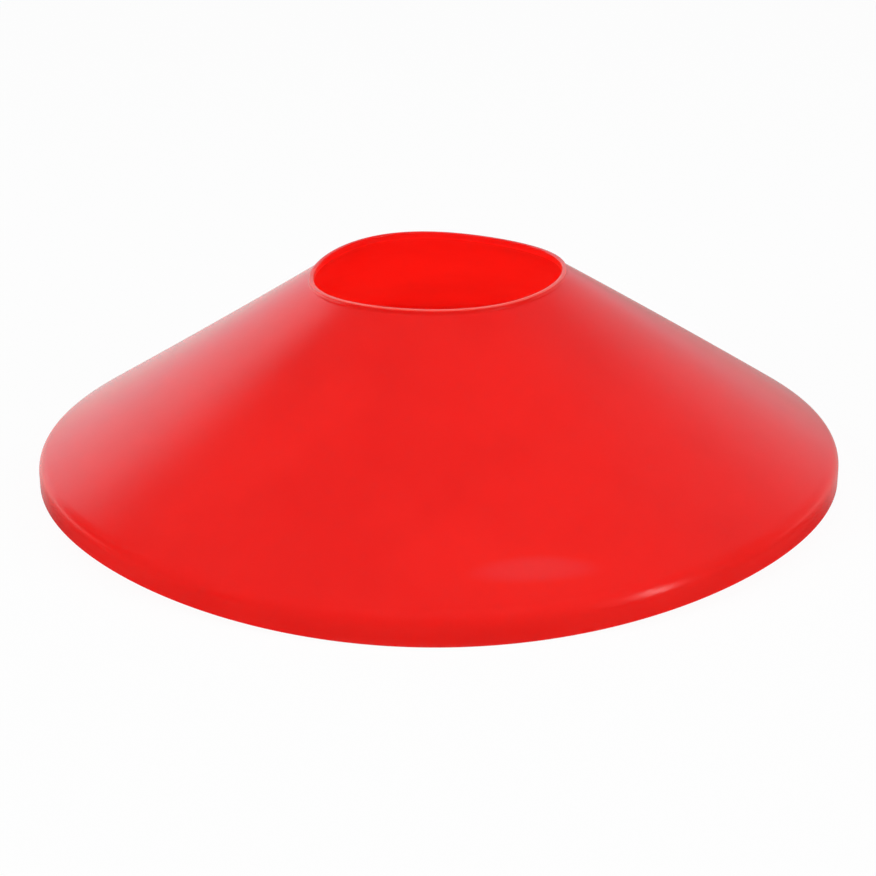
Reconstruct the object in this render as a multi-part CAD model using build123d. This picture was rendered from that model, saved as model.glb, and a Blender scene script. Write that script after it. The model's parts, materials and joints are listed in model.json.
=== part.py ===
from build123d import *

import math
import os

# A low, saucer-shaped sports marker cone: one thin moulding of soft plastic, open at its mouth and
# hollow below. Millimetres, +Z up. The origin is the centre of the base circle, on the ground.

# Driving dimensions
BASE_DIAMETER = 200.0
HEIGHT = 52.0
MOUTH_DIAMETER = 61.0
WALL = 1.2

# The rim: an upright strip on the ground, then a rounded shoulder into the cone wall
RIM_UPRIGHT = 5.0
SHOULDER_RADIUS = 5.0
FOOT_ROUND = 0.3

# The lip: the cone wall bends into a low upright edge round the mouth
LIP_UPRIGHT = 0.7
LIP_BEND_RADIUS = 0.8
LIP_ROUND = 0.4
MOUTH_ROUND = 0.4

# Two edge roundings share one wall, and each leaves part of it flat
MOST_OF_WALL = 0.45


def wall_slope():
    """Slope in radians of the cone wall, whose outside just touches the shoulder and the lip bend."""
    run = BASE_DIAMETER / 2 - SHOULDER_RADIUS - (MOUTH_DIAMETER / 2 + WALL + LIP_BEND_RADIUS)
    rise = HEIGHT - LIP_UPRIGHT - RIM_UPRIGHT
    bends_apart = math.hypot(run, rise)
    return math.atan2(rise, run) - math.asin((SHOULDER_RADIUS + LIP_BEND_RADIUS) / bends_apart)


def shell_section():
    """Half section of the shell as radius and height, up the outside from foot to lip and down the inside."""
    base_radius = BASE_DIAMETER / 2
    mouth_radius = MOUTH_DIAMETER / 2

    # The shoulder and the lip bend both turn the wall from its slope to upright
    half_turn = math.tan((math.pi / 2 - wall_slope()) / 2)
    rim_corner = RIM_UPRIGHT + SHOULDER_RADIUS * half_turn
    lip_corner = HEIGHT - LIP_UPRIGHT - LIP_BEND_RADIUS * half_turn

    # One wall thickness further in, each of those corners lies a little lower
    corner_drop = WALL * half_turn
    foot_round = min(FOOT_ROUND, MOST_OF_WALL * WALL)
    lip_round = min(LIP_ROUND, MOST_OF_WALL * WALL)

    corners_and_rounds = [
        ((base_radius, 0), foot_round),
        ((base_radius, rim_corner), SHOULDER_RADIUS),
        ((mouth_radius + WALL, lip_corner), LIP_BEND_RADIUS),
        ((mouth_radius + WALL, HEIGHT), lip_round),
        ((mouth_radius, HEIGHT), lip_round),
        ((mouth_radius, lip_corner - corner_drop), MOUTH_ROUND),
        ((base_radius - WALL, rim_corner - corner_drop), SHOULDER_RADIUS - WALL),
        ((base_radius - WALL, 0), foot_round),
    ]
    corners = [corner for corner, _ in corners_and_rounds]
    rounds = [radius for _, radius in corners_and_rounds]
    return make_face(FilletPolyline(*corners, radius=rounds, close=True))


# The whole marker is that section turned once round the upright axis
cone_shell = revolve(Plane.XZ * shell_section(), axis=Axis.Z)
cone_shell.label = "cone_shell"

os.makedirs("parts", exist_ok=True)
export_step(cone_shell, "parts/cone_shell.step")
print(f"cone wall slope {math.degrees(wall_slope()):.2f} degrees, volume {cone_shell.volume:.0f} mm3")
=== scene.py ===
import json
import math

import bpy
from mathutils import Matrix, Vector


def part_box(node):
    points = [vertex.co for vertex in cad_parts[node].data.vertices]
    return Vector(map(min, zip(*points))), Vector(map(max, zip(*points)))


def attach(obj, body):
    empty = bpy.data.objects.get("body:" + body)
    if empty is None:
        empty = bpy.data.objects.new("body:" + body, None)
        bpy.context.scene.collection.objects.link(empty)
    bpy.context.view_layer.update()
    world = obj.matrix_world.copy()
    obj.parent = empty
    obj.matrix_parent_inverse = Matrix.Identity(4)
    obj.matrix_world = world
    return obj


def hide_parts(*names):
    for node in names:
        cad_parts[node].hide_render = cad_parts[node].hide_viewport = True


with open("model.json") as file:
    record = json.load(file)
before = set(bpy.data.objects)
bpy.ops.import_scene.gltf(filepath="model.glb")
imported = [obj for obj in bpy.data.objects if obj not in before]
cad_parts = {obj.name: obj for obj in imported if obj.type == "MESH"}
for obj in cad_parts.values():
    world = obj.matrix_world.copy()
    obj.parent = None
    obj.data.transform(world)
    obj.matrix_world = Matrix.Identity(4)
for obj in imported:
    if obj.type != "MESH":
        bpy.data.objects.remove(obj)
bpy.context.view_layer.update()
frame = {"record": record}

# The shell
# One thin injection moulding of soft red polyethylene, turned round an upright axis: a low lip about the
# open mouth, a straight sloping wall, and a rounded shoulder down to a short rim that it stands on.
_, shell_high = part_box("cone_shell")
mounts = {mount["name"]: mount for mount in frame["record"]["mounts"]}
shell_sizes = {
    "Base Radius": shell_high.x,
    "Height": shell_high.z,
    "Mouth Radius": mounts["mouth"]["dims"]["r_mm"] / 1000,
    "Wall": 0.0012,
    "Rim Upright": 0.004,
    "Shoulder Radius": 0.005,
    "Foot Round": 0.0003,
    "Lip Upright": 0.0007,
    "Lip Bend Radius": 0.0008,
    "Lip Round": 0.0004,
    "Mouth Round": 0.0004,
    "Rim Wave": 0.0016,
    "Mouth Lean": 0.0188,
    "Lip Wave": 0.00045,
    "Lip Wave Turn": math.radians(29),
    "Row Spacing": 0.004,
}
shell_counts = {"Sides": 288, "Steps In A Round": 10}


class Wire:
    """An output of a node. Operators on it add Math nodes, and node() adds any other node to its tree."""

    def __init__(self, tree, socket=None):
        self.tree = tree
        self.socket = socket

    def node(self, kind, settings=None, values=None, output=0):
        """Adds a node, with its settings and then its sockets' values or links, and returns one output."""
        made = self.tree.nodes.new(kind)
        for name, setting in (settings or {}).items():
            if name == "items":
                while len(made.index_switch_items) < setting:
                    made.index_switch_items.new()
            else:
                setattr(made, name, setting)
        for name, value in (values or {}).items():
            if isinstance(value, Wire):
                self.tree.links.new(value.socket, made.inputs[name])
            else:
                made.inputs[name].default_value = value
        return Wire(self.tree, made.outputs[output]) if made.outputs else None

    def other(self, output):
        """Another output of the same node."""
        return Wire(self.tree, self.socket.node.outputs[output])

    def math(self, operation, *values):
        return self.node("ShaderNodeMath", {"operation": operation}, dict(enumerate(values)))

    def rise(self, low, high):
        """0 below low, 1 above high and smooth between them; high may be the smaller."""
        limits = {"Value": self, "From Min": low, "From Max": high}
        return self.node("ShaderNodeMapRange", {"interpolation_type": "SMOOTHSTEP"}, limits)

    def blend(self, low, high):
        """The colour low where this is 0, high where it is 1, and a mix of them between."""
        colours = {"Factor": self, 6: low, 7: high}
        return self.node("ShaderNodeMix", {"data_type": "RGBA"}, colours, output=2)

    def __add__(self, other):
        return self.math("ADD", self, other)

    def __radd__(self, other):
        return self.math("ADD", other, self)

    def __sub__(self, other):
        return self.math("SUBTRACT", self, other)

    def __rsub__(self, other):
        return self.math("SUBTRACT", other, self)

    def __mul__(self, other):
        return self.math("MULTIPLY", self, other)

    def __rmul__(self, other):
        return self.math("MULTIPLY", other, self)

    def __truediv__(self, other):
        return self.math("DIVIDE", self, other)

    def __rtruediv__(self, other):
        return self.math("DIVIDE", other, self)

    def __neg__(self):
        return self.math("SUBTRACT", 0, self)


# Satin plastic, red all through, with faint clouds in its colour. Light soaks into it and comes out on the
# other side of the thin wall.
red = (0.86, 0.016, 0.012, 1)
deep_red = (0.82, 0.0138, 0.0105, 1)
cloud_scale = 28

plastic = bpy.data.materials.new("red_plastic")
plastic.use_nodes = True
plastic.node_tree.nodes.clear()
resin = Wire(plastic.node_tree)
place = resin.node("ShaderNodeTexCoord", output="Object")
to_side = resin.node("ShaderNodeSeparateXYZ", values={0: place}, output="X")
to_rear = to_side.other("Y")
height_up = to_side.other("Z")
from_centre = resin.math("SQRT", to_side * to_side + to_rear * to_rear)
cloud = resin.node("ShaderNodeTexNoise", values={"Vector": place, "Scale": cloud_scale, "Detail": 3})
colour = cloud.rise(0.35, 0.65).blend(deep_red, red)

# A painted highlight makes the front of the lip pale, and the foot is scuffed in places.
scuffed_and_highlight_red = (0.95, 0.11, 0.085, 1)
scuff_scale = 900
lip_radius = shell_sizes["Mouth Radius"] + shell_sizes["Wall"]
lip_highlight_depth = 0.0001
lip_highlight_front = -0.006
lip_highlight_end = 0.012
scuff_top = 0.0008
scuff_full = 0.0001
scuff = resin.node("ShaderNodeTexNoise", values={"Vector": place, "Scale": scuff_scale, "Detail": 4})
# Painted highlight: the pale line along the front of the lip stands in for light on its rounded edge.
lip_highlight = from_centre.rise(lip_radius, lip_radius - lip_highlight_depth) * to_rear.rise(lip_highlight_end, lip_highlight_front)
foot_edge = height_up.rise(scuff_top, scuff_full)
# This mix holds both the painted lip highlight and real scuffs on the foot.
wear_and_lip_highlight = lip_highlight * (0.8 + 0.2 * scuff) + 0.3 * foot_edge * scuff.rise(0.42, 0.7)
colour = wear_and_lip_highlight.blend(colour, scuffed_and_highlight_red)

# One faint painted highlight lies low on the wall, a little to the right of the front: a pale patch for a
# broad sheen.
sheen_red = (0.85, 0.034, 0.033, 1)
sheen_side = 0.0205
sheen_front = 0.0914
sheen_tilt = 0.14
sheen_half_width = 0.0115
sheen_half_height = 0.0024
sheen_across = (to_side - sheen_side) / sheen_half_width
sheen_along = (to_rear - sheen_tilt * to_side + sheen_front) / sheen_half_height
painted_sheen = (sheen_across * sheen_across + sheen_along * sheen_along).rise(2, 0)
# Painted highlight: this pale patch stands in for a broad sheen of light on the wall.
colour = painted_sheen.blend(colour, sheen_red)

# The mould leaves a fine grain, which shows as a satin gloss.
grain_scale = 1900
grain_depth = 0.00002
grain = resin.node("ShaderNodeTexNoise", values={"Vector": place, "Scale": grain_scale, "Detail": 2})
roughness = 0.18 + 0.04 * cloud.rise(0.3, 0.7) + 0.03 * wear_and_lip_highlight
bump = resin.node("ShaderNodeBump", values={"Strength": 0.25, "Distance": grain_depth, "Height": grain})
satin = resin.node(
    "ShaderNodeBsdfPrincipled",
    {"subsurface_method": "RANDOM_WALK"},
    {
        "Base Color": colour,
        "Roughness": roughness,
        "IOR": 1.5,
        "Normal": bump,
        "Subsurface Weight": 1.0,
        "Subsurface Radius": (1.0, 0.03, 0.025),
        "Subsurface Scale": 0.0008,
    },
)
resin.node("ShaderNodeOutputMaterial", values={"Surface": satin})

# The section's corners go up the outside from the foot to the lip and down the inside, each with its
# rounding. Heights are negative in the section, because the sweep turns its Y axis downwards.
shell_tree = bpy.data.node_groups.new("turned_shell", "GeometryNodeTree")
socket_kinds = {name: "NodeSocketFloat" for name in shell_sizes}
socket_kinds.update({name: "NodeSocketInt" for name in shell_counts})
socket_kinds["Plastic"] = "NodeSocketMaterial"
shell_sockets = {}
for name, kind in socket_kinds.items():
    shell_sockets[name] = shell_tree.interface.new_socket(name, in_out="INPUT", socket_type=kind)
shell_tree.interface.new_socket("Shell", in_out="OUTPUT", socket_type="NodeSocketGeometry")

given = Wire(shell_tree).node("NodeGroupInput")
base = given.other("Base Radius")
top = given.other("Height")
mouth = given.other("Mouth Radius")
wall = given.other("Wall")
shoulder = given.other("Shoulder Radius")
lip_bend = given.other("Lip Bend Radius")

run = base - shoulder - mouth - wall - lip_bend
rise = top - given.other("Lip Upright") - given.other("Rim Upright")
bends_apart = given.math("SQRT", run * run + rise * rise)
slope = given.math("ARCTAN2", rise, run) - given.math("ARCSINE", (shoulder + lip_bend) / bends_apart)
half_turn = given.math("TANGENT", (math.pi / 2 - slope) / 2)
rim_corner = given.other("Rim Upright") + shoulder * half_turn
lip_corner = top - given.other("Lip Upright") - lip_bend * half_turn
corner_drop = wall * half_turn

corners_and_rounds = [
    (base, 0.0, given.other("Foot Round")),
    (base, rim_corner, shoulder),
    (mouth + wall, lip_corner, lip_bend),
    (mouth + wall, top, given.other("Lip Round")),
    (mouth, top, given.other("Lip Round")),
    (mouth, lip_corner - corner_drop, given.other("Mouth Round")),
    (base - wall, rim_corner - corner_drop, shoulder - wall),
    (base - wall, 0.0, given.other("Foot Round")),
]
corner_count = len(corners_and_rounds)
corner_index = given.node("GeometryNodeInputIndex")
corner_places = {0: corner_index}
corner_rounds = {0: corner_index}
for count, (out, up, rounding) in enumerate(corners_and_rounds, start=1):
    corner_places[count] = given.node("ShaderNodeCombineXYZ", values={"X": out - base, "Y": -up})
    corner_rounds[count] = rounding
corner_place = given.node(
    "GeometryNodeIndexSwitch", {"data_type": "VECTOR", "items": corner_count}, corner_places
)
corner_round = given.node(
    "GeometryNodeIndexSwitch", {"data_type": "FLOAT", "items": corner_count}, corner_rounds
)
section = given.node("GeometryNodePoints", values={"Count": corner_count, "Position": corner_place})
section = given.node("GeometryNodePointsToCurves", values={"Points": section})
section = given.node("GeometryNodeSetSplineCyclic", values={"Geometry": section, "Cyclic": True})
section = given.node(
    "GeometryNodeFilletCurve",
    {"mode": "POLY"},
    {"Curve": section, "Radius": corner_round, "Count": given.other("Steps In A Round")},
)

# Long straight runs of the section are cut into rows, so that the wall can bend.
point = given.node("GeometryNodeInputPosition")
next_point = given.node("GeometryNodeOffsetPointInCurve", values={"Offset": 1}, output="Point Index")
next_place = given.node(
    "GeometryNodeFieldAtIndex", {"data_type": "FLOAT_VECTOR"}, {"Value": point, "Index": next_point}
)
step = given.node(
    "ShaderNodeVectorMath", {"operation": "DISTANCE"}, {0: point, 1: next_place}, output="Value"
)
section = given.node(
    "GeometryNodeSubdivideCurve",
    values={"Curve": section, "Cuts": given.math("FLOOR", step / given.other("Row Spacing"))},
)

# The sweep leaves the faces pointing inwards, so they are turned round.
ring = given.node(
    "GeometryNodeCurvePrimitiveCircle", values={"Resolution": given.other("Sides"), "Radius": base}
)
turned = given.node("GeometryNodeCurveToMesh", values={"Curve": ring, "Profile Curve": section})
turned = given.node("GeometryNodeFlipFaces", values={"Mesh": turned})

# The soft moulding has sprung a little. Its rim stands on three feet, at the front and at both sides of the
# back, its mouth leans to the left, and its lip waves.
across = given.node("ShaderNodeSeparateXYZ", values={0: point}, output="X")
around = given.math("ARCTAN2", across.other("Y"), across)
share_up = across.other("Z") / top
rim_lift = given.other("Rim Wave") * (1 - given.math("SINE", 3 * around)) * (1 - share_up)
lip_ends = given.math("COSINE", 2 * (around - given.other("Lip Wave Turn")))
lip_shape = given.math("COSINE", 3 * around) - lip_ends
lip_lift = given.other("Lip Wave") * lip_shape * share_up * share_up
lift = rim_lift + lip_lift + given.other("Mouth Lean") * across * share_up
turned = given.node(
    "GeometryNodeSetPosition",
    values={"Geometry": turned, "Offset": given.node("ShaderNodeCombineXYZ", values={"Z": lift})},
)
turned = given.node("GeometryNodeSetShadeSmooth", values={"Geometry": turned, "Shade Smooth": True})
turned = given.node("GeometryNodeRealizeInstances", values={"Geometry": turned})
turned = given.node(
    "GeometryNodeSetMaterial", values={"Geometry": turned, "Material": given.other("Plastic")}
)
given.node("NodeGroupOutput", values={"Shell": turned})

shell = bpy.data.objects.new("marker_shell", bpy.data.meshes.new("marker_shell"))
bpy.context.scene.collection.objects.link(shell)
turning = shell.modifiers.new("turned_shell", "NODES")
turning.node_group = shell_tree
for name, value in {**shell_sizes, **shell_counts, "Plastic": plastic}.items():
    turning[shell_sockets[name].identifier] = value
evaluated = shell.evaluated_get(bpy.context.evaluated_depsgraph_get())
moulded = bpy.data.meshes.new_from_object(evaluated)
shell.modifiers.remove(turning)
shell.data = moulded
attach(shell, "root")
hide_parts("cone_shell")

# The floor
# A wide sheet of matt white paper that shows a little brighter than its light makes it and keeps the
# marker's shadow. The plastic mirrors it darkly in front and at the right, as painted shade, and red
# under the marker, as painted red light that stands in for light coming through the plastic.
floor_half = 4.0
marker_radius = shell_high.x
paper_white = (0.85, 0.85, 0.85, 1)
paper_in_shade = (0.1, 0.1, 0.1, 1)
paper_in_red_light = (0.75, 0.05, 0.03, 1)
glow_share = 0.95
paper = bpy.data.materials.new("white_paper")
paper.use_nodes = True
paper.node_tree.nodes.clear()
sheet = Wire(paper.node_tree)
floor_place = sheet.node("ShaderNodeTexCoord", output="Object")
from_axis = sheet.node("ShaderNodeVectorMath", {"operation": "LENGTH"}, {0: floor_place}, output="Value")
floor_right = sheet.node("ShaderNodeSeparateXYZ", values={0: floor_place}, output="X")
floor_back = floor_right.other("Y")
ray = sheet.node("ShaderNodeLightPath", output="Is Camera Ray")
mirrored = ray.math("MAXIMUM", ray.other("Is Glossy Ray"), ray.other("Is Transmission Ray"))

shown = glow_share * ray.math("MAXIMUM", ray, mirrored)
matt = sheet.node("ShaderNodeBsdfDiffuse", values={"Color": paper_white})
glow = sheet.node("ShaderNodeEmission", values={"Color": (1, 1, 1, 1), "Strength": 1.0})
lit = sheet.node("ShaderNodeMixShader", values={"Fac": shown, 1: matt, 2: glow})

# Behind the marker, the painted red light reaches out a little further, under the rim that is off the
# ground there.
red_light_reach = 0.05 * marker_radius * floor_back.rise(0.2 * marker_radius, 0.5 * marker_radius)
outside = (from_axis - red_light_reach).rise(0.99 * marker_radius, 1.02 * marker_radius)
in_front = floor_back.rise(0.25 * marker_radius, -0.45 * marker_radius)
at_right = 0.12 + 0.42 * floor_right.rise(-0.5 * marker_radius, 0.5 * marker_radius)
shaded = mirrored * (outside * ray.math("MAXIMUM", in_front, at_right))
dim = sheet.node("ShaderNodeBsdfDiffuse", values={"Color": paper_in_shade})
lit = sheet.node("ShaderNodeMixShader", values={"Fac": shaded, 1: lit, 2: dim})
# Painted red light: under the marker, reflected rays see the paper red, for light through the plastic.
red_light_on_paper = sheet.node("ShaderNodeBsdfDiffuse", values={"Color": paper_in_red_light})
lit = sheet.node("ShaderNodeMixShader", values={"Fac": mirrored * (1 - outside), 1: lit, 2: red_light_on_paper})
sheet.node("ShaderNodeOutputMaterial", values={"Surface": lit})

floor_mesh = bpy.data.meshes.new("floor")
floor_corners = [(x, y, 0) for x, y in ((-1, -1), (1, -1), (1, 1), (-1, 1))]
floor_mesh.from_pydata([Vector(corner) * floor_half for corner in floor_corners], [], [(0, 1, 2, 3)])
floor_mesh.materials.append(paper)
floor = bpy.data.objects.new("floor", floor_mesh)
bpy.context.scene.collection.objects.link(floor)

# The light
# Soft lamps light the marker from above and in front, one fills its hollow from below, and a narrow one
# draws the streak on its shoulder. The plastic mirrors a pale wall behind it, in a room dark overhead.
wall_level = 0.78
wall_fall_to_right = 0.4
room_level = 0.08
overhead_level = 0.07
right_level = 0.14
room_tint = (0.96, 0.97, 1.05, 1)
world = bpy.data.worlds.new("studio")
world.use_nodes = True
world.node_tree.nodes.clear()
bpy.context.scene.world = world
room = Wire(world.node_tree)
direction = room.node("ShaderNodeTexCoord", output="Generated")
to_right = room.node("ShaderNodeSeparateXYZ", values={0: direction}, output="X")
to_back = to_right.other("Y")
upward = to_right.other("Z")
overhead = overhead_level * upward.rise(0.2, 0.8)
back_right = right_level * to_right.rise(0.2, 0.5) * to_back.rise(0.1, 0.4)
dark_side = room_level + overhead + back_right

# The wall is there for the eye and for reflections, and casts no light on the marker.
wall_light = wall_level - wall_fall_to_right * to_right
behind = to_back.rise(0.43, 0.76) * upward.rise(0.85, 0.6)
sight = room.node("ShaderNodeLightPath", output="Is Camera Ray")
reflected = sight.math("MAXIMUM", sight.other("Is Glossy Ray"), sight.other("Is Transmission Ray"))
seen = sight.math("MAXIMUM", sight, reflected)
surround = dark_side + seen * behind * (wall_light - dark_side)
background = room.node("ShaderNodeBackground", values={"Color": room_tint, "Strength": surround})
room.node("ShaderNodeOutputWorld", values={"Surface": background})


def soft_lamp(name, place, aim, width, height, power):
    """An oval lamp at place that shines towards aim."""
    light = bpy.data.lights.new(name, "AREA")
    light.shape = "ELLIPSE"
    light.size = width
    light.size_y = height
    light.energy = power
    lamp = bpy.data.objects.new(name, light)
    lamp.location = place
    lamp.rotation_mode = "QUATERNION"
    lamp.rotation_quaternion = (Vector(aim) - Vector(place)).to_track_quat("-Z", "Y")
    lamp.visible_camera = False
    bpy.context.scene.collection.objects.link(lamp)
    return lamp


marker_middle = Vector((0, 0, shell_high.z / 2))
for name, place, width, height, power in [
    ("lamp_above", (0, -0.2, 1.5), 1.6, 1.6, 8.9),
    ("lamp_front_left", (-1.28, -0.72, 0.65), 1.0, 1.0, 14),
    ("lamp_front_right", (1.36, -0.72, 0.75), 1.0, 1.0, 13),
]:
    lamp = soft_lamp(name, place, marker_middle, width, height, power)
    lamp.visible_glossy = False

hollow_lamp = soft_lamp("lamp_below", (0, 0, 0.0005), marker_middle, 0.19, 0.19, 0.069)
hollow_lamp.data.color = (1, 0.92, 0.78)
hollow_lamp.visible_glossy = False

streak_azimuth = math.radians(-36.2)
streak_elevation = math.radians(9)
streak_distance = 0.8
streak_place = streak_distance * Vector(
    (
        math.cos(streak_elevation) * math.cos(streak_azimuth),
        math.cos(streak_elevation) * math.sin(streak_azimuth),
        math.sin(streak_elevation),
    )
)
soft_lamp("lamp_streak", streak_place, marker_middle, 0.02, 0.45, 0.5)

# The camera
# It looks down on the marker from in front, from about half a metre, through a long lens.
aim_point = Vector((0, 0, 0.22 * shell_high.x))
camera_elevation = math.radians(20.849)
camera_distance = 5.478 * shell_high.x
camera_pan = math.radians(0.016)
camera_tilt = math.radians(-1.425)
camera_roll = math.radians(-0.316)
camera_data = bpy.data.cameras.new("camera")
camera_data.sensor_width = 36
camera_data.lens = 89.66
camera = bpy.data.objects.new("camera", camera_data)
camera.matrix_world = (
    Matrix.Translation(aim_point)
    @ Matrix.Rotation(math.pi / 2 - camera_elevation, 4, "X")
    @ Matrix.Translation((0, 0, camera_distance))
    @ Matrix.Rotation(camera_pan, 4, "Y")
    @ Matrix.Rotation(camera_tilt, 4, "X")
    @ Matrix.Rotation(camera_roll, 4, "Z")
)
bpy.context.scene.collection.objects.link(camera)
bpy.context.scene.camera = camera
bpy.context.scene.view_settings.view_transform = "Standard"
